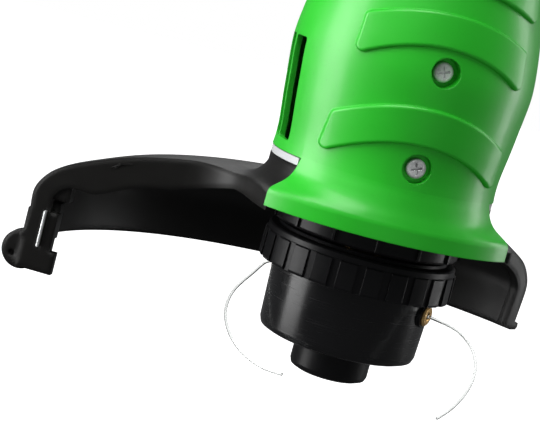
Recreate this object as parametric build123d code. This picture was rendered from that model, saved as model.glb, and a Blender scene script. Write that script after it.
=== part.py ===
from build123d import *
import math
import os

# Electric string trimmer, millimetres. +Z runs up the spool axis, the front of the motor head
# faces -Y, and the shaft leans back towards +Y. The origin is the centre of the bump knob's
# bottom face. The head is drawn from a datum KNOB_DROP above that face, and write() lifts it.
# Upper parts are drawn in a shaft frame: Z along the shaft, -Y on its top side.

# ---- driving dimensions ----
WALL = 2.4                 # moulded wall of the housing shells
GAP = 0.2                  # clearance between pieces that stay together
RUN = 0.05                 # radial clearance of a running fit
MOVE = 0.35                # clearance between pieces that move apart

SPINDLE_R = 4.0            # motor shaft
HEAD_SPINDLE_R = 6.0       # spindle that the spool slides on
KNOB_R = 16.8              # bump knob
KNOB_DROP = 2.0            # the knob's face below the drawing datum
KNOB_TOP = 16.0
BUMP_TRAVEL = 4.5          # how far the knob and spool are pushed up

CUP_R_LOW = 33.8           # spool cup, tapering a little
CUP_R_HIGH = 34.8
CUP_BOTTOM = 12.0
CUP_TOP = 53.8
CUP_WALL = 2.2
RING_R = 41.4              # ribbed ring over the cup
RING_BOTTOM = 41.0
RING_TOP = 57.0
RING_GROOVES = 24

EYELET_ANGLE = 52.0        # from the front towards +X
EYELET_Z = 35.4
LINE_D = 1.3               # nylon line

POD_SPLIT_Z = 87.0         # lower end of the rear shell
SKIRT_LEFT = 59.0          # spread of the front shell's flared skirt from the front, towards -X
SKIRT_RIGHT = 57.0         # and towards +X
SKIRT_X = 64.8             # plan of the skirt's rim, half axes
SKIRT_Y = 52.0
SKIRT_BOTTOM = 66.3
SKIRT_RIM = 6.6            # height of the upright rim
SKIRT_TOP = 93.0           # where the skirt's moulding runs into the pod
SKIRT_SOFT = 3.4           # rounding above the rim
SKIRT_BLEND = 12.0         # rounding where the flare leaves the pod

GUARD_LEFT = 73.0          # the guard's spread from the back, towards -X
GUARD_RIGHT = 52.5         # and towards +X
GUARD_R = 138.5            # the guard's outer wall, round an axis shifted by GUARD_SHIFT along X
GUARD_SHIFT = -3.3
GUARD_COLLAR_R = 47.4      # its collar, round the spool axis
GUARD_ROOF = 70.3          # height of the roof next to the collar
GUARD_FOOT_R = 136.8
GUARD_BOTTOM = 18.4
GUARD_WALL = 2.8
GUARD_LIP = (13.5, 7.5)    # depth of the lip under the roof's free edges, left and right
GUARD_LIP_WALL = 5.0       # and its thickness

LEAN = 32.0                # shaft's lean from the spool axis
BEND_Z = 178.0             # where the shaft's axis meets the spool axis
NECK_END = 108.0           # end of the neck along the shaft
TUBE_R = 12.5              # lower tube
TUBE_END = 430.0
INNER_R = 11.2             # upper tube, sliding in the lower one
INNER_START = 150.0        # leaves 100 mm inside when the telescope is out by 180 mm
COLLAR_START = 398.0
COLLAR_END = 456.0
HANDLE_S = 548.0           # loop handle's clamp along the shaft
GRIP_START = 592.0
GRIP_END = 800.0
TRIGGER_S = 640.0          # trigger's pivot along the shaft
HANG_HOLE_R = 5.0


# ---- helpers ----
def revolved(points):
    """A full turn about Z of a closed outline given as (radius, height) points."""
    outline = make_face(Polyline(*points, close=True))
    return revolve(Plane.XZ * outline, Axis.Z)


def tube(outer, inner, low, high):
    return revolved([(inner, low), (outer, low), (outer, high), (inner, high)])


def rod(radius, low, high, x=0.0, y=0.0):
    return Pos(x, y, (low + high) / 2) * Cylinder(radius, high - low)


def sector(start, end, reach=220.0, low=-20.0, high=320.0):
    """A wedge about Z between two angles, in degrees from +X towards +Y."""
    steps = max(2, math.ceil((end - start) / 40.0))
    angles = [math.radians(start + (end - start) * i / steps) for i in range(steps + 1)]
    rim = [(reach * math.cos(a), reach * math.sin(a)) for a in angles]
    face = make_face(Polyline((0, 0), *rim, close=True))
    return Pos(0, 0, low) * extrude(face, high - low)


def around(shape, count, start=0.0):
    return [Rot(0, 0, start + 360.0 * i / count) * shape for i in range(count)]


def fuse(shapes):
    first, *rest = shapes
    for shape in rest:
        first = first + shape
    return first


def radial(shape, angle, height):
    """Moves a shape built along +X out of the axis to an angle from the front towards +X."""
    return Pos(0, 0, height) * Rot(0, 0, angle - 90.0) * shape


def on_shaft(shape):
    return Location((0, 0, BEND_Z), (-LEAN, 0, 0)) * shape


def coil(radius, wire, low, high, turns):
    """A round-wire helical spring standing on Z, between two heights."""
    pitch = (high - low - wire) / turns
    path = Pos(0, 0, low + wire / 2) * Helix(pitch, pitch * turns, radius)
    return sweep(Plane(path @ 0, z_dir=path % 0) * Circle(wire / 2), path=path, is_frenet=True)


def write(name, shape):
    solids = shape if isinstance(shape, list) else [shape]
    loose = [s for part in solids for s in part.solids()]
    placed = [Pos(0, 0, KNOB_DROP) * s for s in loose]
    export_step(placed[0] if len(placed) == 1 else Compound(children=placed), f"parts/{name}.step")


# ---- motor head housing ----
POD = [(48.2, 83), (47.5, 87), (47.2, 92), (48.5, 107), (49.8, 121), (50.6, 133), (50.1, 140),
       (48.7, 150), (47.1, 158), (45.0, 166), (43.1, 175), (42.4, 182)]


def pod_solid(shrink, low, dome):
    """The motor pod as a solid of revolution with a domed top, thinner by shrink."""
    side = Spline(*[(r - shrink, z) for r, z in POD])
    top = ThreePointArc((42.4 - shrink, 182), (30.5 - shrink * 0.72, 182 + dome * 0.7), (0, 182 + dome))
    closing = Polyline((0, 182 + dome), (0, 83), (48.2 - shrink, 83))
    body = revolve(Plane.XZ * make_face(side + top + closing), Axis.Z)
    return body & Pos(0, 0, low + 100) * Box(200, 200, 200)


def neck_solid(shrink, end):
    """The neck round the shaft's lower end, tapering up to the tube."""
    sections = [(0, 39.0), (26, 35.0), (62, 28.0), (end, 23.0)]
    faces = [Pos(0, 0, s) * Circle(r - shrink) for s, r in sections]
    return on_shaft(loft(faces))


def skirt_solid(shrink, low):
    """The flare below the pod's front, from round at the top to an oval rim."""
    rim_top = SKIRT_BOTTOM + SKIRT_RIM
    sections = [(88.0, 46.3, 46.3), (84.0, 48.4, 48.3), (80.8, 50.2, 49.1), (78.0, 53.6, 50.0),
                (75.4, 59.8, 51.0), (rim_top, SKIRT_X, SKIRT_Y)]
    faces = [Pos(0, 0, z) * Ellipse(a - shrink, b - shrink) for z, a, b in sections]
    rim = Pos(0, 0, low) * extrude(Ellipse(SKIRT_X - shrink, SKIRT_Y - shrink), rim_top - low)
    flare = loft(faces) + rim
    corner = [e for e in flare.edges() if abs((e @ 0.5).Z - rim_top) < 0.01]
    return fillet(corner, SKIRT_SOFT - shrink)


def skirt_on_pod():
    """The skirt with the lowest part of the pod, their meeting line rounded."""
    pod = pod_solid(0, 83, 24) & Pos(0, 0, 75) * Box(200, 200, 50)
    body = pod + skirt_solid(0, SKIRT_BOTTOM)
    meeting = [e for e in body.edges() if 83.2 < (e @ 0.5).Z < 87 and (e @ 0.5).X < 0]
    return fillet(meeting, SKIRT_BLEND)


def skirt_sector(margin):
    """The wedge in front that the skirt fills, wider by a margin in degrees."""
    return sector(-90 - SKIRT_LEFT - margin, -90 + SKIRT_RIGHT + margin)


def parting(front):
    """The space in front of, or behind, the surface where the two housing shells meet."""
    away = 140.0
    lean = math.radians(LEAN)
    far = (BEND_Z + away * math.cos(lean), away * math.sin(lean))
    side = -1 if front else 1
    edge = side * GAP / 4
    points = [(edge, -20), (edge, BEND_Z), (far[1] + edge, far[0]), (side * 300, far[0]), (side * 300, -20)]
    face = make_face(Polyline(*points, close=True))
    return Pos(-150, 0, 0) * extrude(Plane.YZ * face, 300)


def band(low_mid, low_end, high_mid, high_end, half=35.0, proud=1.7):
    """A raised arched band wrapped round the pod's front, between two arches, its rim rounded."""
    lower = ThreePointArc((-half - 1.5, low_end), (0, low_mid), (half + 1.5, low_end))
    upper = ThreePointArc((half, high_end), (0, high_mid), (-half, high_end))
    window = make_face(lower + upper + [Line(lower @ 1, upper @ 0), Line(upper @ 1, lower @ 0)])
    window = fillet(window.vertices(), 2.5)
    prism = extrude(Plane((0, 0, 0), x_dir=(1, 0, 0), z_dir=(0, -1, 0)) * window, 80)
    block = pod_solid(-proud, 83, 24) & prism
    rim = [e for e in block.edges() if (e @ 0.5).Y < -20 and (e @ 0).Y < -1 and (e @ 1).Y < -1
           and ((e @ 0) - (e @ 1)).cross(Vector(0, 1, 0)).length > 0.01]
    return fillet(rim, 1.2)


SCREW_Z = (96.2, 135.0)
VENT_ANGLES = (-5.0, 9.8)           # from the side, towards the front


def vents():
    """Upright slots through the pod's sides, the same on the left and the right."""
    slot = Pos(48, 0, 112.4) * Box(24, 10.8, 42.2)
    slot = fillet(slot.edges().filter_by(Axis.X), 1.2)
    left = [Rot(0, 0, 180 + angle) * slot for angle in VENT_ANGLES]
    right = [Rot(0, 0, -angle) * slot for angle in VENT_ANGLES]
    return left + right


def screw_post(z, side):
    """A post on the shell's inner face that meets the motor frame's boss."""
    return Pos(0, side * 46.2, z) * Rot(90, 0, 0) * Cylinder(7.8, 10)


def screw_well(z, side):
    """The sunk well for a screw's head, with its pilot hole."""
    mouth = Pos(0, side * 54, z) * Rot(90, 0, 0) * Cylinder(5.9, 20)
    return mouth + Pos(0, side * 40, z) * Rot(90, 0, 0) * Cylinder(2.1, 20)


def clamp_screw_well():
    seat = rod(4.1, 20.6, 60) + rod(1.95, 8, 30)
    return on_shaft(Pos(0, 0, 92) * Rot(90, 0, 0) * seat)


def housing_shell(front):
    """Front or rear half of the motor housing; the front one also has the skirt and bands."""
    side = -1 if front else 1
    inner = fuse([pod_solid(WALL, 80, 20), neck_solid(WALL, NECK_END - 30)])
    outer = fuse([pod_solid(0, POD_SPLIT_Z, 24), neck_solid(0, NECK_END)])
    if front:
        facing = skirt_sector(0)
        low_front = facing & Pos(0, 0, SKIRT_TOP - 25) * Box(200, 200, 50)
        bands = [band(105.4, 90.8, 120.5, 109.6, 36.0), band(144.0, 132.2, 157.6, 150.2, 33.5),
                 band(168.5, 160.0, 180.5, 173.5)]
        outer = fuse([outer - low_front, *bands])
    shell = (outer - inner) & parting(front)
    if front:
        skirt = (skirt_on_pod() & low_front) - skirt_solid(WALL, 60) - pod_solid(WALL, 80, 20)
        shell = shell + skirt
    for z in SCREW_Z:
        shell = shell + (screw_post(z, side) & pod_solid(WALL / 2, 83, 20) & parting(front))
        shell = shell - screw_well(z, side)
    if front:
        shell = shell - clamp_screw_well()
    for slot in vents():
        shell = shell - slot
    return shell - on_shaft(rod(TUBE_R, 50, 200))


def cross_screw(head_r, head, length, shank_r=1.95):
    """A pan-head screw along Z with a cross recess: the head sits on z = 0, the shank below."""
    top = fillet(rod(head_r, 0, head).edges().sort_by(Axis.Z)[-1:], head * 0.42)
    cross = Pos(0, 0, head) * (Box(head_r * 1.15, 0.9, 2.2) + Box(0.9, head_r * 1.15, 2.2))
    return (top + rod(shank_r, -length, 0)) - Rot(0, 0, 20) * cross


def housing_screws():
    """Screws sunk in the shells' wells, front and rear, into the motor frame's bosses."""
    screw = Pos(0, 0, 44.0) * cross_screw(4.0, 2.6, 6.8)
    return [Pos(0, 0, z) * Rot(0, 0, turn) * Rot(90, 0, 0) * screw for z in SCREW_Z for turn in (0, 180)]


# ---- guard ----
def guard_collar(depth):
    """The collar round the motor head and the hollow that runs out of it into the roof."""
    low = GUARD_ROOF - depth
    hollow = ThreePointArc((GUARD_COLLAR_R, 79.5), (51.4, 73.6), (60.5, GUARD_ROOF))
    rest = Polyline((60.5, GUARD_ROOF), (61.5, GUARD_ROOF), (61.5, low), (44.2, low), (44.2, 83.4),
                    (GUARD_COLLAR_R, 83.4), (GUARD_COLLAR_R, 79.5))
    return revolve(Plane.XZ * make_face(hollow + rest), Axis.Z)


def guard_face(inset):
    """The roof, shoulder and foot of the guard's outer face, moved inwards by an inset."""
    r, i, j = GUARD_R, inset, min(inset, 9.0)
    flat = Line((57.0, GUARD_ROOF - i), (64.5, GUARD_ROOF - i))
    roof = Spline((64.5, GUARD_ROOF - i), (84.0, 67.9 - i), (104.5 - i * 0.35, 62.4 - i * 0.93),
                  (120.5 - i * 0.45, 55.8 - i * 0.9), (132.6 - j * 0.72, 48.8 - j * 0.7),
                  (138.0 - j * 0.92, 41.0 - j * 0.4), (r - j, 34.0), tangents=[(1, 0), (-0.08, -1)])
    return [flat, roof, Line((r - j, 34.0), (GUARD_FOOT_R - j, GUARD_BOTTOM))]


def guard_layer(depth):
    """The guard's skin of one depth, turned fully round the guard's own axis."""
    outer, inner = guard_face(0), guard_face(depth)
    top = Line(inner[0] @ 0, outer[0] @ 0)
    bottom = Line(outer[-1] @ 1, inner[-1] @ 1)
    skin = revolve(Plane.XZ * make_face([*outer, bottom, *inner, top]), Axis.Z)
    return Pos(GUARD_SHIFT, 0, 0) * skin + guard_collar(depth)


def guard_plan(inset):
    """The guard's outline from above, as a prism. Each edge point has a radius, an angle past
    the fan's edge, and how far an inset moves it inwards and along."""
    collar_angle = 145.5        # from the back, further round than the collar is kept

    def place(side, r, past, inward=0.0, along=1.0):
        spread = GUARD_LEFT if side > 0 else GUARD_RIGHT
        turn = math.radians(90 + side * (spread + past - math.degrees(inset * along / r)))
        return ((r - inset * inward) * math.cos(turn), (r - inset * inward) * math.sin(turn))

    def edge(side):
        spread = GUARD_LEFT if side > 0 else GUARD_RIGHT
        return [place(side, 59.0, collar_angle - spread, 1.0, 0.0), place(side, 55.5, 36.0, 1.0, 0.0),
                place(side, 54.5, 24.0, 1.0, 0.0), place(side, 57.0, 11.0, 0.8, 0.5),
                place(side, 66.0, 3.0, 0.3, 1.0), place(side, 80.0, 0.0)]

    left, right = edge(1), edge(-1)
    left_out, right_out = place(1, 190.0, 0.0), place(-1, 190.0, 0.0)
    lines = [Spline(*left), Line(left[-1], left_out), ThreePointArc(left_out, (0, 190), right_out),
             Line(right_out, right[-1]), Spline(*reversed(right)), Polyline(right[0], (0, 0), left[0])]
    return extrude(make_face(lines), 110)


def guard_lip(side, depth, at_collar):
    """The lip under one free edge of the roof, less deep towards the collar."""
    half = Pos(side * 100, 0, 50) * Box(200, 400, 200)
    below = revolved([(10, 0), (84, 0), (84, 55), (58, at_collar), (10, at_collar)])
    return (guard_layer(depth) & (guard_plan(0) - guard_plan(GUARD_LIP_WALL)) & half) - below


BLADE_R = 134.2            # line cutter's distance from the spool axis
AT_LEFT = Rot(0, 0, 90 + GUARD_LEFT)   # +X out along the guard's left end, +Y past it


def cutter_holder():
    """The block, brackets and lug at the guard's left end that hold the line cutter."""
    blocks = [((138.15, -3.6, 20.5), (7.8, 7.2, 21.0)), ((133.95, -2.2, 9.4), (16.2, 4.4, 9.8)),
              ((136.5, -6.0, 9.8), (11.0, 8.0, 8.0)), ((131.4, -2.6, 22.6), (5.6, 5.0, 17.2)),
              ((131.8, -8.0, 27.0), (5.0, 8.0, 16.0)), ((129.4, -5.4, 42.6), (7.2, 8.0, 11.6))]
    body = fuse([Pos(*centre) * Box(*size) for centre, size in blocks])
    lug = Pos(141.8, -6.5, 11.4) * Rot(90, 0, 0) * Cylinder(8.6, 6)
    dimple = Pos(145.6, -3.5, 9.0) * Rot(90, 0, 0) * Cylinder(1.5, 3)
    return AT_LEFT * (body + lug - dimple)


def guard():
    foot, low = GUARD_FOOT_R, GUARD_BOTTOM
    bead = revolved([(foot - 2.5, low - 1), (foot + 2.4, low - 1), (foot + 3.6, low + 0.4),
                     (foot + 3.2, low + 2.4), (foot - 1.2, low + 3.6)])
    plan = guard_plan(0)
    lips = [guard_lip(-1, GUARD_LIP[0], 64.0), guard_lip(1, GUARD_LIP[1], 67.2)]
    skin = guard_layer(GUARD_WALL) + Pos(GUARD_SHIFT, 0, 0) * bead
    body = fuse([skin & plan, *lips, cutter_holder()])
    body = body - AT_LEFT * Pos(BLADE_R, -3, 23.4) * Box(1.3, 24, 16.6) - skirt_sector(1.5)
    for angle in GUARD_SCREW_ANGLES:
        seat = Rot(0, 90, 0) * (rod(4.5, GUARD_SCREW_R, 62) + rod(2.1, 40, 60))
        body = body - Pos(0, 0, GUARD_SCREW_Z) * Rot(0, 0, angle) * seat
    return body


def cutter_blade():
    """A short steel blade at the guard's end that trims the line to length."""
    blade = Pos(BLADE_R, -4.6, 23.4) * Box(1.1, 12, 16.0)
    edge = Pos(BLADE_R, 1.3, 23.4) * Rot(0, 0, 45) * Box(0.76, 0.76, 16.0)
    return AT_LEFT * (blade + edge)


def guard_retaining_band():
    """The light ring between the rear shell and the guard's collar."""
    return tube(47.25, 44.3, 83.7, 86.7) - skirt_sector(1.5)


GUARD_SCREW_ANGLES = (60.0, 120.0)
GUARD_SCREW_Z = 76.0
GUARD_SCREW_R = 48.4


def guard_screws():
    """Two screws through the guard's collar into the spindle housing's ears."""
    screw = Rot(0, 90, 0) * Pos(0, 0, GUARD_SCREW_R) * cross_screw(4.0, 2.2, 7.4)
    return [Pos(0, 0, GUARD_SCREW_Z) * Rot(0, 0, angle) * screw for angle in GUARD_SCREW_ANGLES]


# ---- spindle housing and motor ----
def spindle_housing():
    """The fixed collar below the motor, with upright ribs, that seats the lower bearing."""
    body = revolved([(14, 58.6), (39.0, 58.6), (39.8, 59.6), (39.8, 78.0), (43.9, 78.0), (43.9, 81.0),
                     (38.0, 81.0), (38.0, 62.0), (14, 62.0)])
    seat = tube(14.5, 11.0, 58.6, 71.0)
    rib = Pos(40.1, 0, 68.4) * Box(1.6, 1.2, 18.0)
    spoke = Pos(26.5, 0, 64.5) * Box(26, 2.4, 6.0)
    ears = [Pos(0, 0, GUARD_SCREW_Z) * Rot(0, 0, angle) * Pos(41.7, 0, 0) * Box(4.4, 10, 9)
            for angle in GUARD_SCREW_ANGLES]
    body = fuse([body, seat, *around(rib, 14, 6.0), *around(spoke, 6), *ears])
    body = body - rod(11.0, 60.5, 75) - rod(9.0, 50, 65)
    for angle in GUARD_SCREW_ANGLES:
        body = body - Pos(0, 0, GUARD_SCREW_Z) * Rot(0, 0, angle) * Rot(0, 90, 0) * rod(2.0, 38, 60)
    return body


def motor_frame():
    """The steel can round the motor, with windows for air and bosses for the housing screws."""
    can = tube(39.6, 36.4, 81.2, 162)
    window = Pos(38, 0, 104) * Box(12, 16, 16)
    can = can - around(window, 4, 45.0)
    for z in SCREW_Z:
        for turn in (90, 270):
            boss = Pos(0, 0, z) * Rot(0, 0, turn) * Rot(0, 90, 0) * (rod(5.5, 38.5, 41.0) - rod(2.0, 30, 50))
            can = can - Pos(0, 0, z) * Rot(0, 0, turn) * Rot(0, 90, 0) * rod(2.0, 30, 50) + boss
    return can


def bearing(low):
    """A sealed ball bearing: bore for the motor shaft, 22 mm outside, 7 mm wide."""
    ring = tube(10.95, SPINDLE_R + RUN, low, low + 7)
    return ring - tube(9.2, 6.2, low + 6.4, low + 8)


def bearing_bracket():
    """The upper spider that seats the top bearing over the motor."""
    seat = revolved([(11.0, 178), (14.0, 178), (14.0, 189), (8.0, 189), (8.0, 187), (11.0, 187)])
    arm = Pos(25.5, 0, 180) * Box(25, 6, 4) + Pos(37.9, 0, 172) * Box(3.0, 6, 19.8)
    return fuse([seat, *around(arm, 4, 45.0)])


def stator_core():
    """Laminated field core, a ring with two inner poles."""
    ring = tube(36.0, 30.0, 116, 150)
    poles = [tube(30.5, 22.4, 116, 150) & sector(turn - 42, turn + 42) for turn in (0, 180)]
    return fuse([ring, *poles])


def field_coils():
    """Two copper coils, one round each pole, seen above and below the core."""
    coils = []
    for turn in (0, 180):
        for low, high in ((106, 115.8), (150.2, 160)):
            coils.append(tube(29.5, 23.5, low, high) & sector(turn - 50, turn + 50))
    return coils


def armature_core():
    core = tube(21.6, SPINDLE_R, 116, 150)
    slot = Pos(20.2, 0, 133) * Box(4.0, 1.6, 40)
    return core - around(slot, 12)


def armature_windings():
    lower = tube(18.5, SPINDLE_R, 108, 115.8)
    upper = tube(18.5, SPINDLE_R, 150.2, 158)
    return [lower, upper]


def commutator():
    body = tube(11.0, SPINDLE_R, 160, 173)
    slot = Pos(11.0, 0, 168) * Box(1.6, 0.5, 12)
    return body - around(slot, 22)


def brush_holders():
    holder = Pos(19.5, 0, 167) * (Box(14, 9.5, 9.5) - Box(15, 6.6, 6.6))
    foot = Pos(24.0, 0, 160.7) * Box(6, 9.5, 3.2)
    return [Rot(0, 0, turn) * (holder + foot) for turn in (90, 270)]


def carbon_brushes():
    return [Rot(0, 0, turn) * Pos(17.6, 0, 167) * Box(12.0, 6.2, 6.2) for turn in (90, 270)]


def motor_shaft():
    return rod(SPINDLE_R, 50.0, 188.0) + rod(7.0, 71.5, 74.0)


def cooling_fan():
    hub = tube(9.0, SPINDLE_R, 86, 98)
    disc = tube(34.0, 8.5, 86, 88)
    blade = Pos(21, 0, 92.5) * Rot(0, 0, 18) * Box(24, 1.6, 10)
    return fuse([hub, disc, *around(blade, 9)])


# ---- cutting head ----
def drive_hub():
    """Brass insert that carries the head on the motor shaft."""
    return tube(8.6, SPINDLE_R, 50.2, 58.4)


def head_spindle():
    """The spindle ends above the knob, with room for its travel."""
    return rod(HEAD_SPINDLE_R, KNOB_TOP + BUMP_TRAVEL + 0.5, 50.0)


def ribbed_ring():
    body = revolved([(8.7, 54.0), (36.3, 54.0), (36.3, RING_BOTTOM), (RING_R - 0.4, RING_BOTTOM),
                     (RING_R, RING_BOTTOM + 1), (RING_R - 0.3, 52.4), (40.3, 53.0), (40.3, 55.0),
                     (39.5, 55.6), (36.2, 55.8), (35.6, RING_TOP), (8.7, RING_TOP)])
    groove = Pos(RING_R + 0.5, 0, 46.5) * Box(3.0, 3.4, 12.4)
    return body - around(groove, RING_GROOVES, 3.0)


def eyelet_place(turn, shape):
    return radial(shape, EYELET_ANGLE + turn, EYELET_Z)


def spool_cup():
    outer = [(KNOB_R + MOVE + 0.05, CUP_BOTTOM), (CUP_R_LOW - 2.6, CUP_BOTTOM),
             (CUP_R_LOW - 0.7, CUP_BOTTOM + 0.8), (CUP_R_LOW, CUP_BOTTOM + 2.8), (CUP_R_HIGH, RING_BOTTOM),
             (CUP_R_HIGH, CUP_TOP)]
    inner = [(CUP_R_HIGH - CUP_WALL, CUP_TOP), (CUP_R_LOW - CUP_WALL, CUP_BOTTOM + CUP_WALL),
             (KNOB_R + MOVE + 0.05, CUP_BOTTOM + CUP_WALL)]
    cup = revolved(outer + inner)
    latch = Pos(35.0, 0, 47.5) * Box(1.8, 9, 5)
    cup = fuse([cup, *around(latch, 3, 20.0)])
    for turn in (0, 180):
        boss = Pos(34.2, 0, 0) * Rot(0, 90, 0) * Cylinder(5.4, 2.8)
        cup = cup + eyelet_place(turn, boss)
        cup = cup - eyelet_place(turn, Pos(34, 0, 0) * Rot(0, 90, 0) * Cylinder(2.6, 12))
    return cup


def line_eyelets():
    """Brass line outlets: a flange outside the cup and a sleeve through its wall."""
    profile = [(1.5, 32.2), (2.5, 32.2), (2.5, 35.65), (4.4, 35.65), (4.5, 36.2), (3.6, 36.9), (1.9, 36.9),
               (1.5, 36.5)]
    eyelet = Rot(0, 90, 0) * revolved(profile)
    return [eyelet_place(turn, eyelet) for turn in (0, 180)]


def spool():
    top = 43.5
    rim, bore = 31.0, HEAD_SPINDLE_R + 0.08
    body = revolved([(bore, KNOB_TOP + 0.05), (rim, KNOB_TOP + 0.05), (rim, 18.2), (13.0, 18.2), (13.0, 41.5),
                     (rim, 41.5), (rim, top), (bore, top)])
    notch = Pos(31, 0, top - 1) * Box(4, 3, 4)
    return body - around(notch, 4)


def wound_line():
    ring = tube(26.5, 13.05, 18.25, 41.45)
    groove = [tube(28, 26.1, z, z + 0.5) for z in (21, 24, 27, 30, 33, 36, 39)]
    return ring - groove


def bump_knob():
    low = -KNOB_DROP
    body = revolved([(0, low), (14.2, low), (16.2, low + 0.9), (KNOB_R, low + 2.6), (KNOB_R, KNOB_TOP),
                     (0, KNOB_TOP)])
    return body - tube(10.6, 9.4, low - 1, low + 0.7)


def thrust_washer():
    return tube(14.0, HEAD_SPINDLE_R + RUN, 43.85, 45.0)


def spool_spring():
    return coil(9.6, 1.0, 45.05, 53.9, 3)


# ---- nylon line ----
LINE_RIGHT = [(29.1, -22.7, 35.4), (35.0, -27.3, 35.2), (41.8, -32.2, 33.4), (46.2, -38.3, 29.2),
              (47.4, -44.0, 23.6), (45.6, -49.2, 17.6), (41.6, -53.8, 12.2), (36.6, -58.2, 7.6),
              (30.8, -62.2, 4.4)]
LINE_LEFT = [(-29.1, 22.7, 35.4), (-31.9, 24.9, 34.4), (-34.0, 25.9, 31.6), (-36.6, 25.2, 27.9),
             (-40.4, 22.5, 24.2), (-44.3, 18.1, 20.5), (-47.0, 12.3, 16.6), (-48.3, 5.3, 12.4),
             (-47.7, -0.9, 9.1), (-46.1, -7.1, 6.1), (-43.6, -13.3, 3.7), (-40.3, -19.4, 2.1),
             (-36.4, -25.2, 1.1), (-32.1, -30.8, 1.0), (-27.6, -36.2, 2.1)]


def line_tube(name, points):
    """A free length of line: straight runs joined by the largest arcs that they allow."""
    route = [Vector(*p) for p in points]
    radii = []
    for before, at, after in zip(route, route[1:], route[2:]):
        turn = (at - before).get_angle(after - at)
        shorter = min((at - before).length, (after - at).length)
        radii.append(0.45 * shorter / math.tan(math.radians(turn / 2)))
    path = FilletPolyline(*route, radius=radii)
    piece = sweep(Plane(path @ 0, z_dir=path % 0) * Circle(LINE_D / 2), path=path)
    section = math.pi * (LINE_D / 2) ** 2
    print(name, "length", round(path.length, 1), "radii", [round(r, 1) for r in radii],
          "volume ratio", round(piece.volume / (section * path.length), 4))
    return piece


# ---- shaft ----
def lower_tube():
    hole = Pos(0, 0, 92) * Rot(90, 0, 0) * rod(1.95, 5, 40)
    return on_shaft(tube(TUBE_R, INNER_R + RUN, 52, TUBE_END) - hole)


def upper_tube():
    return on_shaft(tube(INNER_R, INNER_R - 1.2, INNER_START, GRIP_START + 34))


def tube_clamp_screw():
    """The screw through the neck that holds the lower tube."""
    screw = Pos(0, 0, 20.7) * cross_screw(3.8, 2.2, 10.5, 1.85)
    return on_shaft(Pos(0, 0, 92) * Rot(90, 0, 0) * screw)


def telescope_collar():
    """The twist collar that locks the two tubes, with grip ribs."""
    body = revolved([(TUBE_R + MOVE, COLLAR_START), (17.2, COLLAR_START), (19.0, COLLAR_START + 4),
                     (19.0, COLLAR_END - 12), (15.0, COLLAR_END), (INNER_R + MOVE, COLLAR_END),
                     (INNER_R + MOVE, TUBE_END + 1.2), (TUBE_R + MOVE, TUBE_END + 1.2)])
    rib = Pos(19.0, 0, (COLLAR_START + COLLAR_END) / 2 - 5) * Box(1.8, 2.6, 34)
    return on_shaft(fuse([body, *around(rib, 12)]))


# ---- loop handle ----
PIVOT_Y = -23.0            # handle pivot, on the shaft's top side


def handle_bracket():
    """Clamp block round the upper tube that carries the loop handle."""
    ring = tube(15.8, INNER_R + 0.02, HANDLE_S - 15, HANDLE_S + 15)
    block = Pos(0, PIVOT_Y + 5, HANDLE_S) * Box(18, 14, 24)
    barrel = Pos(0, PIVOT_Y - 2, HANDLE_S) * Rot(0, 90, 0) * Cylinder(11, 18)
    body = fuse([ring, block, barrel]) - rod(INNER_R + 0.02, HANDLE_S - 40, HANDLE_S + 40)
    return on_shaft(body - Pos(0, PIVOT_Y - 2, HANDLE_S) * Rot(0, 90, 0) * Cylinder(4.1, 40))


def loop_handle():
    """Closed D loop for the front hand, with two ears over the bracket's barrel."""
    y0, width, height = PIVOT_Y - 2, 62.0, 106.0
    ears = []
    for side in (-1, 1):
        ear = Pos(side * 13.2, y0, 0) * Rot(0, 90, 0) * Cylinder(11.5, 7)
        strut = Pos(side * 13.2, y0 - 18, 0) * Box(7, 32, 15)
        ears.append(ear + strut)
    path = FilletPolyline((-13.2, y0 - 31, 0), (-width, y0 - 39, 0), (-width + 4, y0 - height, 0),
                          (width - 4, y0 - height, 0), (width, y0 - 39, 0), (13.2, y0 - 31, 0),
                          radius=[13.0, 24.0, 24.0, 13.0])
    loop = sweep(Plane(path @ 0, z_dir=path % 0) * Ellipse(9.5, 8.5), path=path)
    body = fuse([loop, *ears])
    body = body - Pos(0, y0, 0) * Rot(0, 90, 0) * Cylinder(4.1, 60)
    body = body - Pos(0, y0 + 2, 0) * Box(18.7, 32.0, 40)
    return on_shaft(Pos(0, 0, HANDLE_S) * body)


def handle_bolt():
    """Carriage bolt through the ears and the barrel."""
    bolt = Pos(0, PIVOT_Y - 2, HANDLE_S) * Rot(0, 90, 0) * (rod(4.0, -17, 25.4) + rod(7.0, -19.2, -16.9))
    return on_shaft(bolt)


def clamp_knob():
    """Star knob that tightens the loop handle."""
    lobe = Pos(11.5, 0, 0) * Cylinder(4.2, 13)
    body = fuse([Cylinder(12.0, 13), *around(lobe, 6)])
    body = body - Pos(0, 0, -3) * Cylinder(4.0 + RUN, 10)
    return on_shaft(Pos(24.0, PIVOT_Y - 2, HANDLE_S) * Rot(0, 90, 0) * body)


# ---- rear grip ----
GRIP = [(0, 15.5, 15.5), (24, 21, 23), (60, 20, 26), (110, 17.5, 21), (158, 18.5, 23), (190, 21, 26),
        (208, 19, 24)]


def grip_solid(shrink):
    faces = [Pos(0, 2, GRIP_START + s) * Ellipse(a - shrink, b - shrink) for s, a, b in GRIP]
    return loft(faces)


TRIGGER_BOX = (11.0, 30.0, 54.0)


def trigger_opening():
    wide, deep, long = TRIGGER_BOX
    return Pos(0, 24, TRIGGER_S + long / 2 - 6) * Box(wide, deep, long)


def button_opening():
    return Pos(0, -24, TRIGGER_S + 20) * Box(9.6, 26, 18.6)


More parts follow.
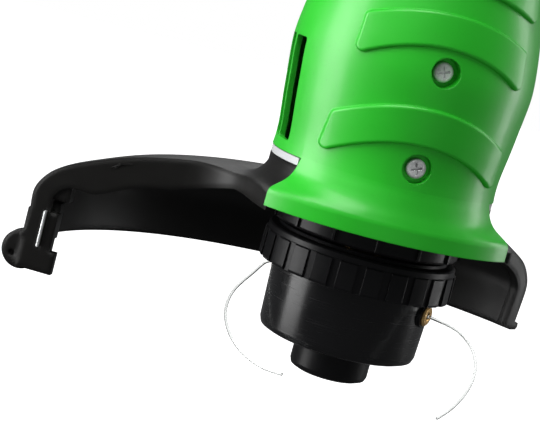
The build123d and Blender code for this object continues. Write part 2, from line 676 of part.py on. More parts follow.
def grip_half(side):
    half = Pos(side * (50 + GAP / 4), 0, GRIP_START + 100) * Box(100, 200, 240)
    inner = grip_solid(WALL) & Pos(0, 0, (GRIP_START + GRIP_END) / 2 + 4) * Box(80, 80, GRIP_END - GRIP_START)
    shell = (grip_solid(0) - inner) & half
    front = (tube(17.5, INNER_R + 0.02, GRIP_START + 3, GRIP_START + 11) & half & grip_solid(0.5))
    shell = shell + front
    for x_s, y in ((GRIP_START + 92, -6), (GRIP_START + 176, 6)):
        post = Pos(side * 9, y, x_s) * Rot(0, 90, 0) * Cylinder(4.6, 17.4)
        shell = shell + (post & grip_solid(0.6) & half)
        shell = shell - Pos(side * 10, y, x_s) * Rot(0, 90, 0) * Cylinder(1.9, 60)
        if side > 0:
            shell = shell - Pos(23.1, y, x_s) * Rot(0, 90, 0) * Cylinder(4.2, 20)
    shell = shell - trigger_opening() - button_opening()
    shell = shell - rod(INNER_R + 0.02, GRIP_START - 20, GRIP_START + 34.5)
    shell = shell - Pos(0, 8, TRIGGER_S) * Rot(0, 90, 0) * Cylinder(2.0, 22)
    return on_shaft(shell)


def grip_screws():
    screws = []
    for s, y in ((GRIP_START + 92, -6), (GRIP_START + 176, 6)):
        screw = Rot(0, 90, 0) * Pos(0, 0, 13.2) * cross_screw(3.7, 2.2, 25, 1.8)
        screws.append(on_shaft(Pos(0, y, s) * screw))
    return screws


def trigger():
    """Lever on the grip's underside, pivoting at its front end."""
    wide = TRIGGER_BOX[0] - 2 * MOVE
    arm = [(5.0, -4), (13.0, -4.6), (27.5, -2), (31.0, 6), (33.5, 22), (35.0, 40), (31.5, 44), (20.5, 44),
           (20.5, 10), (11.0, 8), (5.0, 4)]
    face = make_face(Polyline(*[(y, s) for y, s in arm], close=True))
    lever = Pos(-wide / 2, 0, TRIGGER_S) * extrude(Plane.YZ * face, wide)
    return on_shaft(lever - Pos(0, 8, TRIGGER_S) * Rot(0, 90, 0) * Cylinder(2.0 + RUN, 40))


def trigger_pin():
    return on_shaft(Pos(0, 8, TRIGGER_S) * Rot(0, 90, 0) * Cylinder(2.0, 21.6))


def trigger_spring():
    spring = Rot(-90, 0, 0) * coil(2.6, 0.7, 12.6, 20.4, 5)
    return on_shaft(Pos(0, 0, TRIGGER_S + 36) * spring)


def power_switch():
    body = Pos(0, 6.2, TRIGGER_S + 34) * Box(14, 12.4, 30)
    plunger = Pos(0, 13.6, TRIGGER_S + 24) * Box(5, 2.4, 5)
    return on_shaft(body + plunger)


def lock_off_button():
    cap = Pos(0, -23.4, TRIGGER_S + 20) * Box(8.9, 12.4, 17.9)
    flange = Pos(0, -17.0, TRIGGER_S + 20) * Box(12.4, 2.0, 21.0)
    stem = Pos(0, -14.2, TRIGGER_S + 20) * Box(5, 5.6, 6)
    return on_shaft(fuse([cap, flange, stem]))


def grip_end_cap():
    """Moulded end of the grip, with a hang lug on top and the inlet below."""
    s = GRIP_END
    plug = loft([Pos(0, 2, s + GAP) * Ellipse(19, 24), Pos(0, 2, s + 7) * Ellipse(18, 23),
                 Pos(0, 2, s + 11) * Ellipse(14, 19)])
    lug = Pos(0, -8, s + 14) * Box(12, 18, 14) + Pos(0, -8, s + 21) * Rot(0, 90, 0) * Cylinder(9, 12)
    body = (plug + lug) - Pos(0, -8, s + 21) * Rot(0, 90, 0) * Cylinder(HANG_HOLE_R, 40)
    return on_shaft(body - Pos(0, 12, s + 6) * Box(19, 14, 20))


def power_inlet():
    """Recessed two-pin inlet in the end cap."""
    s = GRIP_END
    shell = Pos(0, 12, s + 4) * Box(18.6, 13.6, 13) - Pos(0, 12, s + 7) * Box(15.6, 10.6, 13)
    return on_shaft(shell)


def inlet_pins():
    return [on_shaft(rod(1.6, GRIP_END + 0.5, GRIP_END + 8, x=side * 4, y=12)) for side in (-1, 1)]


# ---- write every piece ----
def main():
    os.makedirs("parts", exist_ok=True)
    pieces = {
        "front_housing_shell": housing_shell(True), "rear_housing_shell": housing_shell(False),
        "housing_screws": housing_screws(), "guard": guard(), "cutter_blade": cutter_blade(),
        "guard_retaining_band": guard_retaining_band(), "guard_screws": guard_screws(),
        "spindle_housing": spindle_housing(), "motor_frame": motor_frame(), "lower_bearing": bearing(60.6),
        "upper_bearing": bearing(179.8), "bearing_bracket": bearing_bracket(),
        "stator_core": stator_core(), "field_coils": field_coils(), "brush_holders": brush_holders(),
        "carbon_brushes": carbon_brushes(), "armature_core": armature_core(),
        "armature_windings": armature_windings(), "commutator": commutator(),
        "motor_shaft": motor_shaft(), "cooling_fan": cooling_fan(), "drive_hub": drive_hub(),
        "head_spindle": head_spindle(), "ribbed_ring": ribbed_ring(), "spool_cup": spool_cup(),
        "line_eyelets": line_eyelets(), "spool": spool(), "wound_line": wound_line(),
        "bump_knob": bump_knob(), "thrust_washer": thrust_washer(), "spool_spring": spool_spring(),
        "line_end_right": line_tube("line_end_right", LINE_RIGHT),
        "line_end_left": line_tube("line_end_left", LINE_LEFT),
        "lower_tube": lower_tube(), "upper_tube": upper_tube(),
        "tube_clamp_screw": tube_clamp_screw(), "telescope_collar": telescope_collar(),
        "handle_bracket": handle_bracket(), "loop_handle": loop_handle(),
        "handle_bolt": handle_bolt(), "clamp_knob": clamp_knob(),
        "left_grip_shell": grip_half(-1), "right_grip_shell": grip_half(1),
        "grip_screws": grip_screws(), "trigger": trigger(), "trigger_pin": trigger_pin(),
        "trigger_spring": trigger_spring(), "power_switch": power_switch(),
        "lock_off_button": lock_off_button(), "grip_end_cap": grip_end_cap(),
        "power_inlet": power_inlet(), "inlet_pins": inlet_pins(),
    }
    for name, shape in pieces.items():
        write(name, shape)


main()
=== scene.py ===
import bmesh
import bpy
import math
from mathutils import Matrix, Vector


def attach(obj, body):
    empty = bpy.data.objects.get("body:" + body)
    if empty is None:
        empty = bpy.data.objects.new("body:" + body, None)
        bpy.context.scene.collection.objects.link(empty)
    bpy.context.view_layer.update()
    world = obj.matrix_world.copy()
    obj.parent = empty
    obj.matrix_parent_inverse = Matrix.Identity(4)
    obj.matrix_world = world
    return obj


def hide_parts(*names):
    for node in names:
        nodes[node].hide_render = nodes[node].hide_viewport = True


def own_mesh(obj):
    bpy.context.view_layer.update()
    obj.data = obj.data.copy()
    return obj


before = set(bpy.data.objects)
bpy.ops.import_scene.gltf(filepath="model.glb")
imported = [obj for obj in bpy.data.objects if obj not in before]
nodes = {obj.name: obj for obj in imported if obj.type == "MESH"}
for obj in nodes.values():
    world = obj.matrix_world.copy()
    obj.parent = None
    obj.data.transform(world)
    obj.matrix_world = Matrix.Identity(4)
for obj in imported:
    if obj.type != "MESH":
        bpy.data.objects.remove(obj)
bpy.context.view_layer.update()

# ---- camera, at the photograph's angle: aimed at the top of the ribbed ring, all in metres ----
AIM_HEIGHT = 0.059
CAM_DISTANCE = 0.700
CAM_AZIMUTH = math.radians(-15.5)
CAM_ELEVATION = math.radians(8.86)
CAM_ROLL = math.radians(-15.59)
LENS = 111.1               # mm, on a 36 mm sensor
LOOK_LEFT = 0.0563         # tangent of the angle by which the view's centre lies left of the aim
LOOK_UP = 0.01704          # and above it


def make_camera():
    ce, se = math.cos(CAM_ELEVATION), math.sin(CAM_ELEVATION)
    place = Vector((0, -CAM_DISTANCE * ce, CAM_DISTANCE * se))
    ahead = Vector((0, ce, -se))
    across = Vector((1, 0, 0))
    up = across.cross(ahead)
    rolled_x = math.cos(CAM_ROLL) * across - math.sin(CAM_ROLL) * up
    rolled_y = math.sin(CAM_ROLL) * across + math.cos(CAM_ROLL) * up
    forward = (ahead - LOOK_LEFT * rolled_x + LOOK_UP * rolled_y).normalized()
    right = (rolled_x - rolled_x.dot(forward) * forward).normalized()
    upward = right.cross(forward)
    turn = Matrix((right, upward, -forward)).transposed().to_4x4()
    data = bpy.data.cameras.new("camera")
    data.lens = LENS
    data.sensor_width = 36.0
    data.clip_start, data.clip_end = 0.01, 50.0
    cam = bpy.data.objects.new("camera", data)
    bpy.context.scene.collection.objects.link(cam)
    swing = Matrix.Rotation(CAM_AZIMUTH, 4, "Z")
    cam.matrix_world = Matrix.Translation((0, 0, AIM_HEIGHT)) @ swing @ Matrix.Translation(place) @ turn
    bpy.context.scene.camera = cam


make_camera()


# ---- the two free ends of nylon line ----
LINE_D = 0.0013
LINE_RIGHT = [(0.0291, -0.0227, 0.0374), (0.0350, -0.0273, 0.0372), (0.0418, -0.0322, 0.0354),
              (0.0462, -0.0383, 0.0312), (0.0474, -0.0440, 0.0256), (0.0456, -0.0492, 0.0196),
              (0.0416, -0.0538, 0.0142), (0.0366, -0.0582, 0.0096), (0.0308, -0.0622, 0.0064)]
LINE_LEFT = [(-0.0291, 0.0227, 0.0374), (-0.0319, 0.0249, 0.0364), (-0.0340, 0.0259, 0.0336),
             (-0.0366, 0.0252, 0.0299), (-0.0404, 0.0225, 0.0262), (-0.0443, 0.0181, 0.0225),
             (-0.0470, 0.0123, 0.0186), (-0.0483, 0.0053, 0.0144), (-0.0477, -0.0009, 0.0111),
             (-0.0461, -0.0071, 0.0081), (-0.0436, -0.0133, 0.0057), (-0.0403, -0.0194, 0.0041),
             (-0.0364, -0.0252, 0.0031), (-0.0321, -0.0308, 0.0030), (-0.0276, -0.0362, 0.0041)]


def make_line(name, points, node):
    curve = bpy.data.curves.new(name, "CURVE")
    curve.dimensions = "3D"
    curve.bevel_depth = 1.0             # each point's radius then is the line's own
    curve.bevel_resolution = 5
    curve.resolution_u = 12
    curve.use_fill_caps = True
    spline = curve.splines.new("NURBS")
    spline.points.add(len(points) - 1)
    for point, at in zip(spline.points, points):
        point.co = (*at, 1.0)
        point.radius = LINE_D / 2
    spline.order_u = 3
    spline.use_endpoint_u = True
    piece = bpy.data.objects.new(name, curve)
    bpy.context.scene.collection.objects.link(piece)
    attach(piece, "line_head")
    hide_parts(node)
    return piece


line_right = make_line("nylon_line_right", LINE_RIGHT, "line_end_right")
line_left = make_line("nylon_line_left", LINE_LEFT, "line_end_left")


# ---- materials ----
class Graph:
    """A material's node tree, with short calls for the nodes that the surfaces share."""

    def __init__(self, name):
        self.mat = bpy.data.materials.new(name)
        self.mat.use_nodes = True
        self.tree = self.mat.node_tree
        self.shader = self.tree.nodes["Principled BSDF"]
        self.place = self.new("ShaderNodeTexCoord").outputs["Object"]

    def new(self, kind, **settings):
        node = self.tree.nodes.new(kind)
        for key, value in settings.items():
            setattr(node, key, value)
        return node

    def join(self, out, into):
        self.tree.links.new(out, into)

    def stretched(self, scale):
        node = self.new("ShaderNodeMapping")
        node.inputs["Scale"].default_value = scale
        self.join(self.place, node.inputs["Vector"])
        return node.outputs["Vector"]

    def noise(self, size, detail=2.0, rough=0.5, vector=None):
        """Noise whose features are about size metres across."""
        node = self.new("ShaderNodeTexNoise")
        node.inputs["Scale"].default_value = 1.0 / size
        node.inputs["Detail"].default_value = detail
        node.inputs["Roughness"].default_value = rough
        self.join(vector or self.place, node.inputs["Vector"])
        return node.outputs["Fac"]

    def cells(self, size):
        node = self.new("ShaderNodeTexVoronoi")
        node.inputs["Scale"].default_value = 1.0 / size
        self.join(self.place, node.inputs["Vector"])
        return node.outputs["Distance"]

    def spread(self, value, low, high, to_low=0.0, to_high=1.0):
        node = self.new("ShaderNodeMapRange")
        node.clamp = True
        self.join(value, node.inputs["Value"])
        settings = {"From Min": low, "From Max": high, "To Min": to_low, "To Max": to_high}
        for key, number in settings.items():
            node.inputs[key].default_value = number
        return node.outputs["Result"]

    def maths(self, operation, a, b):
        node = self.new("ShaderNodeMath", operation=operation)
        self.join(a, node.inputs[0])
        self.join(b, node.inputs[1])
        return node.outputs["Value"]

    def mix(self, fac, a, b):
        node = self.new("ShaderNodeMix", data_type="RGBA")
        self.join(fac, node.inputs["Factor"])
        colour_a, colour_b = node.inputs[6], node.inputs[7]
        for socket, value in ((colour_a, a), (colour_b, b)):
            if isinstance(value, tuple):
                socket.default_value = (*value, 1.0)
            else:
                self.join(value, socket)
        return node.outputs[2]

    def bump(self, height, strength, distance, normal=None):
        node = self.new("ShaderNodeBump")
        node.inputs["Strength"].default_value = strength
        node.inputs["Distance"].default_value = distance
        self.join(height, node.inputs["Height"])
        if normal is not None:
            self.join(normal, node.inputs["Normal"])
        return node.outputs["Normal"]

    def rounded(self, radius):
        """The surface's normal with its edges rounded, and a mask of those edges."""
        bevel = self.new("ShaderNodeBevel", samples=4)
        bevel.inputs["Radius"].default_value = radius
        plain = self.new("ShaderNodeNewGeometry")
        dot = self.new("ShaderNodeVectorMath", operation="DOT_PRODUCT")
        self.join(bevel.outputs["Normal"], dot.inputs[0])
        self.join(plain.outputs["Normal"], dot.inputs[1])
        mask = self.spread(dot.outputs["Value"], 0.985, 0.80)
        return bevel.outputs["Normal"], mask


def tint(colour, factor):
    return tuple(min(1.0, c * factor) for c in colour)


def moulded(name, colour, roughness, grain=0.0004, grain_depth=0.03, ripple=0.02, edge=0.0004,
            worn=1.25, coat=0.0, specular=0.5, scuffs=0.0):
    """Moulded plastic: fine grain, a slow ripple, uneven gloss, and edges a little paler."""
    g = Graph(name)
    cloud = g.noise(0.045, 3.0)
    fine = g.noise(grain, 3.0, 0.6)
    normal, edges = g.rounded(edge)
    body = g.mix(g.spread(cloud, 0.3, 0.7), tint(colour, 0.93), tint(colour, 1.06))
    speck = g.mix(g.spread(g.noise(0.0011, 1.0), 0.62, 0.8, 0.0, 0.35), body, tint(colour, 0.82))
    wear = g.maths("MULTIPLY", edges, g.spread(g.noise(0.004, 4.0, 0.7), 0.4, 0.65, 0.15, 0.9))
    g.join(g.mix(wear, speck, tint(colour, worn)), g.shader.inputs["Base Color"])
    gloss = g.spread(g.noise(0.012, 4.0, 0.6), 0.3, 0.7, roughness - 0.04, roughness + 0.05)
    if scuffs:
        streaks = g.noise(0.02, 3.0, 0.6, g.stretched((1.0, 1.0, 30.0)))
        rubbed = g.spread(streaks, 0.60, 0.68, 0.0, scuffs)
        gloss = g.maths("ADD", gloss, rubbed)
        normal = g.bump(streaks, 0.06 + scuffs * 0.2, 0.0001, normal)
    g.join(gloss, g.shader.inputs["Roughness"])
    normal = g.bump(g.noise(0.03, 1.0), ripple, 0.004, normal)
    normal = g.bump(fine, grain_depth * 8, 0.00006, normal)
    g.join(normal, g.shader.inputs["Normal"])
    g.shader.inputs["Specular IOR Level"].default_value = specular
    g.shader.inputs["Coat Weight"].default_value = coat
    g.shader.inputs["Coat Roughness"].default_value = 0.18
    return g.mat


def metal(name, colour, roughness, brush=(1.0, 1.0, 1.0), brush_size=0.0004, edge=0.0003, stain=0.85,
          metallic=1.0):
    """Metal with brush or turning marks, light stains and bright edges."""
    g = Graph(name)
    lines = g.noise(brush_size, 3.0, 0.6, g.stretched(brush))
    blot = g.noise(0.006, 4.0, 0.6)
    normal, edges = g.rounded(edge)
    body = g.mix(g.spread(blot, 0.35, 0.7), colour, tint(colour, stain))
    g.join(g.mix(edges, body, tint(colour, 1.15)), g.shader.inputs["Base Color"])
    g.shader.inputs["Metallic"].default_value = metallic
    gloss = g.spread(lines, 0.3, 0.7, roughness - 0.06, roughness + 0.1)
    g.join(gloss, g.shader.inputs["Roughness"])
    g.join(g.bump(lines, 0.25, 0.00004, normal), g.shader.inputs["Normal"])
    return g.mat


def wound_copper():
    """Enamelled copper wire laid side by side."""
    g = Graph("wound_copper")
    wave = g.new("ShaderNodeTexWave", wave_type="RINGS", rings_direction="Z")
    wave.inputs["Scale"].default_value = 320.0
    wave.inputs["Distortion"].default_value = 1.2
    g.join(g.place, wave.inputs["Vector"])
    turns = wave.outputs["Fac"]
    g.join(g.mix(turns, (0.22, 0.07, 0.02), (0.62, 0.25, 0.09)), g.shader.inputs["Base Color"])
    g.shader.inputs["Metallic"].default_value = 0.85
    g.join(g.spread(g.noise(0.004), 0.3, 0.7, 0.22, 0.38), g.shader.inputs["Roughness"])
    g.join(g.bump(turns, 0.6, 0.0003), g.shader.inputs["Normal"])
    return g.mat


def laminated_steel():
    """Thin core plates stacked up the spool axis."""
    g = Graph("laminated_steel")
    wave = g.new("ShaderNodeTexWave", wave_type="BANDS", bands_direction="Z")
    wave.inputs["Scale"].default_value = 330.0
    g.join(g.place, wave.inputs["Vector"])
    plates = wave.outputs["Fac"]
    spots = g.spread(g.noise(0.005, 4.0), 0.5, 0.75)
    body = g.mix(plates, (0.09, 0.09, 0.10), (0.34, 0.34, 0.36))
    g.join(g.mix(spots, body, (0.20, 0.13, 0.09)), g.shader.inputs["Base Color"])
    g.shader.inputs["Metallic"].default_value = 0.9
    g.join(g.spread(plates, 0.0, 1.0, 0.55, 0.36), g.shader.inputs["Roughness"])
    g.join(g.bump(plates, 0.4, 0.00015), g.shader.inputs["Normal"])
    return g.mat


def nylon():
    """Clear-white extruded nylon line."""
    g = Graph("nylon")
    along = g.noise(0.002, 2.0)
    g.join(g.mix(along, (0.62, 0.64, 0.63), (0.80, 0.81, 0.80)), g.shader.inputs["Base Color"])
    g.join(g.spread(g.noise(0.0008), 0.3, 0.7, 0.08, 0.20), g.shader.inputs["Roughness"])
    g.join(g.bump(g.noise(0.0009, 2.0), 0.06, 0.00003), g.shader.inputs["Normal"])
    g.shader.inputs["Transmission Weight"].default_value = 0.8
    g.shader.inputs["IOR"].default_value = 1.53
    return g.mat


def soft_rubber(name, colour):
    """Soft-touch rubber with a stippled grain."""
    g = Graph(name)
    stipple = g.cells(0.0009)
    normal, edges = g.rounded(0.0005)
    body = g.mix(g.spread(g.noise(0.03, 4.0), 0.3, 0.7), tint(colour, 0.85), tint(colour, 1.25))
    g.join(g.mix(edges, body, tint(colour, 1.9)), g.shader.inputs["Base Color"])
    g.join(g.spread(g.noise(0.008, 3.0), 0.3, 0.7, 0.62, 0.78), g.shader.inputs["Roughness"])
    g.join(g.bump(stipple, 0.5, 0.00012, normal), g.shader.inputs["Normal"])
    g.shader.inputs["Sheen Weight"].default_value = 0.12
    return g.mat


GREEN = (0.016, 0.500, 0.016)

green = moulded("apple_green_plastic", GREEN, 0.42, ripple=0.035, worn=1.35, coat=0.2, edge=0.0007,
                specular=0.6)
guard_black = moulded("guard_black_plastic", (0.0065, 0.0062, 0.0058), 0.38, grain=0.0005, grain_depth=0.05,
                      ripple=0.03, worn=1.6, edge=0.0035, scuffs=0.05, specular=0.25)
gloss_black = moulded("polished_black_plastic", (0.004, 0.004, 0.0045), 0.22, grain_depth=0.012, ripple=0.02,
                      worn=2.4, coat=0.15, scuffs=0.14, specular=0.35)
satin_black = moulded("satin_black_plastic", (0.005, 0.005, 0.0055), 0.34, worn=2.4, scuffs=0.06,
                      specular=0.2)
grip_black = moulded("grained_black_plastic", (0.014, 0.014, 0.015), 0.5, grain=0.0007, grain_depth=0.09)
pale_grey = moulded("pale_grey_plastic", (0.56, 0.57, 0.58), 0.42, worn=1.15)
natural_nylon = moulded("natural_nylon_plastic", (0.62, 0.60, 0.54), 0.45, worn=1.1)
carbon = moulded("pressed_carbon", (0.02, 0.02, 0.021), 0.6, grain=0.0003, grain_depth=0.08)
rubber = soft_rubber("soft_touch_rubber", (0.012, 0.012, 0.0125))
zinc = metal("zinc_plated_steel", (0.90, 0.91, 0.92), 0.30, stain=0.45, metallic=0.25)
ground_steel = metal("ground_steel", (0.66, 0.67, 0.69), 0.2, brush=(1.0, 1.0, 14.0))
blade_steel = metal("bright_blade_steel", (0.86, 0.87, 0.88), 0.32, brush=(1.0, 1.0, 0.1), metallic=0.6)
turned_brass = metal("turned_brass", (0.78, 0.50, 0.20), 0.26, stain=0.7)
spring_steel = metal("spring_steel", (0.45, 0.45, 0.47), 0.3)
rolled_steel = metal("rolled_steel", (0.30, 0.30, 0.32), 0.42, brush=(1.0, 1.0, 8.0), stain=0.7)
anodised = metal("anodised_aluminium", (0.58, 0.59, 0.61), 0.34, brush=(6.0, 1.0, 1.0))
powder_coat = moulded("black_powder_coat", (0.016, 0.016, 0.017), 0.4, grain=0.0006, grain_depth=0.12)
copper = wound_copper()
laminated = laminated_steel()
line_nylon = nylon()

FINISHES = {
    green: ["front_housing_shell", "rear_housing_shell", "left_grip_shell", "right_grip_shell", "clamp_knob"],
    guard_black: ["guard"],
    gloss_black: ["spool_cup"],
    satin_black: ["ribbed_ring", "spindle_housing", "bump_knob", "spool"],
    grip_black: ["telescope_collar", "handle_bracket", "trigger", "lock_off_button", "grip_end_cap",
                 "power_inlet", "power_switch"],
    pale_grey: ["guard_retaining_band"],
    natural_nylon: ["cooling_fan"],
    carbon: ["carbon_brushes"],
    rubber: ["loop_handle"],
    zinc: ["housing_screws", "guard_screws", "grip_screws", "tube_clamp_screw", "handle_bolt"],
    ground_steel: ["lower_bearing", "upper_bearing", "motor_shaft", "head_spindle", "thrust_washer",
                   "trigger_pin"],
    blade_steel: ["cutter_blade"],
    turned_brass: ["line_eyelets", "drive_hub", "brush_holders", "inlet_pins"],
    spring_steel: ["spool_spring", "trigger_spring"],
    rolled_steel: ["motor_frame", "bearing_bracket"],
    anodised: ["upper_tube"],
    powder_coat: ["lower_tube"],
    copper: ["field_coils", "armature_windings", "commutator"],
    laminated: ["stator_core", "armature_core"],
    line_nylon: ["wound_line", "line_end_right", "line_end_left"],
}


def finish_nodes():
    for material, names in FINISHES.items():
        for name in names:
            mesh = nodes[name].data
            mesh.materials.clear()
            mesh.materials.append(material)
    for piece in (line_right, line_left):
        piece.data.materials.append(line_nylon)


finish_nodes()


# ---- pieces that the CAD doesn't have ----
def mesh_piece(name, bm, body, material):
    mesh = bpy.data.meshes.new(name)
    bmesh.ops.recalc_face_normals(bm, faces=bm.faces)
    bm.to_mesh(mesh)
    bm.free()
    mesh.materials.append(material)
    piece = bpy.data.objects.new(name, mesh)
    bpy.context.scene.collection.objects.link(piece)
    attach(piece, body)
    return piece


def skin(bm, rings, closed=False):
    """Joins rings of vertices into a tube, with flat ends unless it closes on itself."""
    corners = len(rings[0])
    pairs = list(zip(rings, rings[1:])) + ([(rings[-1], rings[0])] if closed else [])
    for a, b in pairs:
        for k in range(corners):
            bm.faces.new((a[k], a[(k + 1) % corners], b[(k + 1) % corners], b[k]))
    if not closed:
        bm.faces.new(rings[0])
        bm.faces.new(rings[-1])


def strip(bm, points, normals, across, half, proud, sink, closed=False):
    """Adds a raised half-round strip along points on a surface. half may vary along it."""
    shape = [(-1.0, -sink), (-0.8, proud * 0.55), (0.0, proud), (0.8, proud * 0.55), (1.0, -sink)]
    rows = []
    for k, (point, normal) in enumerate(zip(points, normals)):
        wide = half[k] if isinstance(half, list) else half
        rows.append([bm.verts.new(point + across * wide * u + normal * v) for u, v in shape])
    skin(bm, rows, closed)


def strike(names, start, direction):
    """The nearest place where a ray meets any of some nodes, with the normal there."""
    found = []
    for name in names:
        hit, place, normal, _ = nodes[name].ray_cast(start, direction)
        if hit:
            found.append(((place - start).length, place, normal))
    return min(found, key=lambda f: f[0])[1:] if found else None


def spin_arrow():
    """A small raised arrow on the guard's shoulder that shows which way the head spins."""
    steps, head_from = 14, 0.58
    stem_half, head_half, tip = 0.00045, 0.0018, 1.02
    points, normals, half = [], [], []
    for k in range(steps + 1):
        f = k / steps
        x, z = -0.0985 - 0.0082 * f, 0.0628 - 0.0022 * f - 0.0016 * f * f
        place, normal = strike(["guard"], Vector((x, -0.2, z)), Vector((0, 1, 0)))
        points.append(place)
        normals.append(normal)
        half.append(stem_half if f < head_from else head_half * (tip - f) / (1 - head_from))
    bm = bmesh.new()
    strip(bm, points, normals, Vector((0.28, 0.0, 0.96)), half, proud=0.0005, sink=0.0003)
    mesh_piece("spin_arrow", bm, "motor_head", guard_black)


# ---- the shaft's own frame, which leans back from the spool axis ----
LEAN = math.radians(32.0)
BEND_HEIGHT = 0.180
ALONG = Vector((0.0, math.sin(LEAN), math.cos(LEAN)))
UNDER = Vector((0.0, math.cos(LEAN), -math.sin(LEAN)))
RIBS_START = 0.693
HANDLE_AT = 0.548
RIB_PROUD, RIB_SINK = 0.0007, 0.0005


def on_shaft(x, y, s):
    return Vector((x, 0.0, BEND_HEIGHT)) + UNDER * y + ALONG * s


def grip_ribs():
    """Soft ribs across both sides of the rear grip, where the hand holds it."""
    shells = ["left_grip_shell", "right_grip_shell"]
    ribs, pitch, steps = 9, 0.0072, 12
    for side in (-1, 1):
        bm = bmesh.new()
        for k in range(ribs):
            s = RIBS_START + pitch * k
            spread = 46.0 - 1.1 * abs(k - ribs // 2) ** 1.6      # degrees, less towards both ends
            points, normals = [], []
            for step in range(steps + 1):
                angle = math.radians(-spread + 2 * spread * step / steps)
                out = Vector((side * math.cos(angle), 0, 0)) + UNDER * math.sin(angle)
                middle = on_shaft(0, 0.002, s)
                struck = strike(shells, middle + out * 0.06, -out)
                if struck:
                    points.append(struck[0])
                    normals.append(struck[1])
            strip(bm, points, normals, ALONG, 0.0012, RIB_PROUD, RIB_SINK)
        mesh_piece("grip_ribs_left" if side < 0 else "grip_ribs_right", bm, "upper_shaft",
                   rubber)


def handle_ribs():
    """Rings moulded round the bar of the loop handle."""
    each_side, pitch, steps = 6, 0.0052, 24
    bm = bmesh.new()
    for k in range(-each_side, each_side + 1):
        middle = on_shaft(pitch * k, -0.131, HANDLE_AT)
        points, normals = [], []
        for step in range(steps):
            angle = math.tau * step / steps
            out = UNDER * math.cos(angle) + ALONG * math.sin(angle)
            place, normal = strike(["loop_handle"], middle + out * 0.03, -out)
            points.append(place)
            normals.append(normal)
        strip(bm, points, normals, Vector((1, 0, 0)), 0.0011, RIB_PROUD, RIB_SINK, closed=True)
    mesh_piece("handle_ribs", bm, "front_handle", rubber)


spin_arrow()
grip_ribs()
handle_ribs()


# ---- round-wire coil springs that take the place of the CAD's springs ----
def coil_spring(node, body, foot, along, radius, wire, length, turns):
    """A round-wire spring that stands on its fixed end, in place of the CAD node, which it hides."""
    side = Vector((1.0, 0.0, 0.0))
    other = along.cross(side)
    steps, corners = 28 * turns, 10
    rise = (length - wire) / (math.tau * turns)      # per radian
    bm = bmesh.new()
    rings = []
    for step in range(steps + 1):
        angle = math.tau * turns * step / steps
        out = side * math.cos(angle) + other * math.sin(angle)
        ahead = (along * rise + along.cross(out) * radius).normalized()
        middle = foot + along * (wire / 2 + rise * angle) + out * radius
        ring = []
        for corner in range(corners):
            turn = math.tau * corner / corners
            round_wire = out * math.cos(turn) + ahead.cross(out) * math.sin(turn)
            ring.append(bm.verts.new(middle + round_wire * wire / 2))
        rings.append(ring)
    skin(bm, rings)
    spring = mesh_piece(node + "_coil", bm, body, spring_steel)
    for face in spring.data.polygons:
        face.use_smooth = len(face.vertices) == 4
    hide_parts(node)
    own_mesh(spring)


coil_spring("spool_spring", "line_head", Vector((0.0, 0.0, 0.0559)), Vector((0.0, 0.0, -1.0)),
            radius=0.0096, wire=0.0010, length=0.00885, turns=3)
coil_spring("trigger_spring", "upper_shaft", on_shaft(0.0, 0.0126, 0.676), UNDER,
            radius=0.0026, wire=0.0007, length=0.0078, turns=5)


# ---- floor and light ----
def make_floor():
    mesh = bpy.data.meshes.new("studio_floor")
    half, height = 6.0, -0.30
    corners = [(-half, -half, height), (half, -half, height), (half, half, height), (-half, half, height)]
    mesh.from_pydata(corners, [], [(0, 1, 2, 3)])
    floor = bpy.data.objects.new("studio_floor", mesh)
    bpy.context.scene.collection.objects.link(floor)
    g = Graph("pale_floor")
    g.join(g.mix(g.noise(0.8), (0.90, 0.90, 0.90), (0.93, 0.93, 0.93)), g.shader.inputs["Base Color"])
    g.shader.inputs["Roughness"].default_value = 0.9
    g.shader.inputs["Emission Color"].default_value = (1.0, 1.0, 1.0, 1.0)
    g.shader.inputs["Emission Strength"].default_value = 1.2
    mesh.materials.append(g.mat)
    floor.visible_diffuse = False
    floor.visible_glossy = False


LIGHTS_FACE = Vector((0.0, 0.0, 0.09))


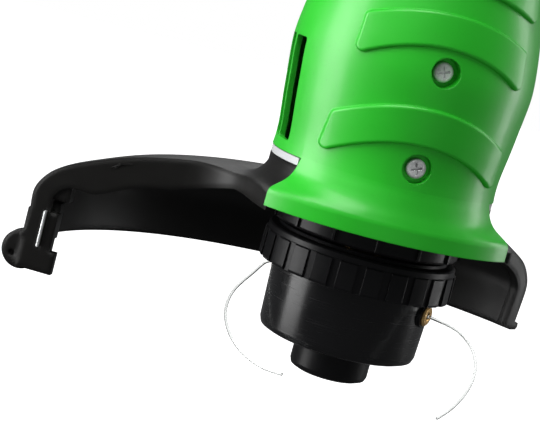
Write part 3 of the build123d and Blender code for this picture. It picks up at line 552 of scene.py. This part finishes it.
def soft_box(name, azimuth, elevation, distance, size, watts, mirrored=True):
    """An area light at an azimuth and elevation, in degrees, round the point LIGHTS_FACE.
    One that isn't mirrored lights the surfaces without showing in them as a highlight."""
    a, e = math.radians(azimuth), math.radians(elevation)
    out = Vector((math.sin(a) * math.cos(e), -math.cos(a) * math.cos(e), math.sin(e)))
    light = bpy.data.lights.new(name, "AREA")
    light.shape = "RECTANGLE"
    light.size, light.size_y = size
    light.energy = watts
    lamp = bpy.data.objects.new(name, light)
    lamp.location = LIGHTS_FACE + out * distance
    lamp.rotation_mode = "QUATERNION"
    lamp.rotation_quaternion = out.to_track_quat("Z", "Y")
    lamp.visible_glossy = mirrored
    bpy.context.scene.collection.objects.link(lamp)


def make_light():
    world = bpy.data.worlds.new("studio")
    bpy.context.scene.world = world
    world.use_nodes = True
    tree = world.node_tree
    dim = tree.nodes["Background"]
    dim.inputs["Color"].default_value = (0.96, 0.98, 1.0, 1.0)
    dim.inputs["Strength"].default_value = 0.12
    white = tree.nodes.new("ShaderNodeBackground")
    white.inputs["Color"].default_value = (1.0, 1.0, 1.0, 1.0)
    ray = tree.nodes.new("ShaderNodeLightPath")
    seen = tree.nodes.new("ShaderNodeMath")
    seen.operation = "MAXIMUM"
    tree.links.new(ray.outputs["Is Camera Ray"], seen.inputs[0])
    tree.links.new(ray.outputs["Is Transmission Ray"], seen.inputs[1])
    mix = tree.nodes.new("ShaderNodeMixShader")
    tree.links.new(seen.outputs["Value"], mix.inputs["Fac"])
    tree.links.new(dim.outputs["Background"], mix.inputs[1])
    tree.links.new(white.outputs["Background"], mix.inputs[2])
    tree.links.new(mix.outputs["Shader"], tree.nodes["World Output"].inputs["Surface"])
    soft_box("left_box", -90, 8, 0.90, (0.50, 0.90), 10.0)
    soft_box("right_box", 98, 10, 0.95, (0.26, 0.80), 3.2)
    soft_box("top_box", -40, 62, 1.05, (0.70, 0.60), 7.5)
    soft_box("front_box", -48, 24, 1.4, (0.60, 0.50), 1.7, mirrored=False)
    soft_box("low_box", 12, -8, 1.5, (0.90, 0.40), 2.6, mirrored=False)
    soft_box("back_box", 165, 35, 1.2, (0.90, 0.50), 5.0)
    bpy.context.scene.view_settings.view_transform = "Standard"
    bpy.context.scene.view_settings.look = "None"


make_floor()
make_light()
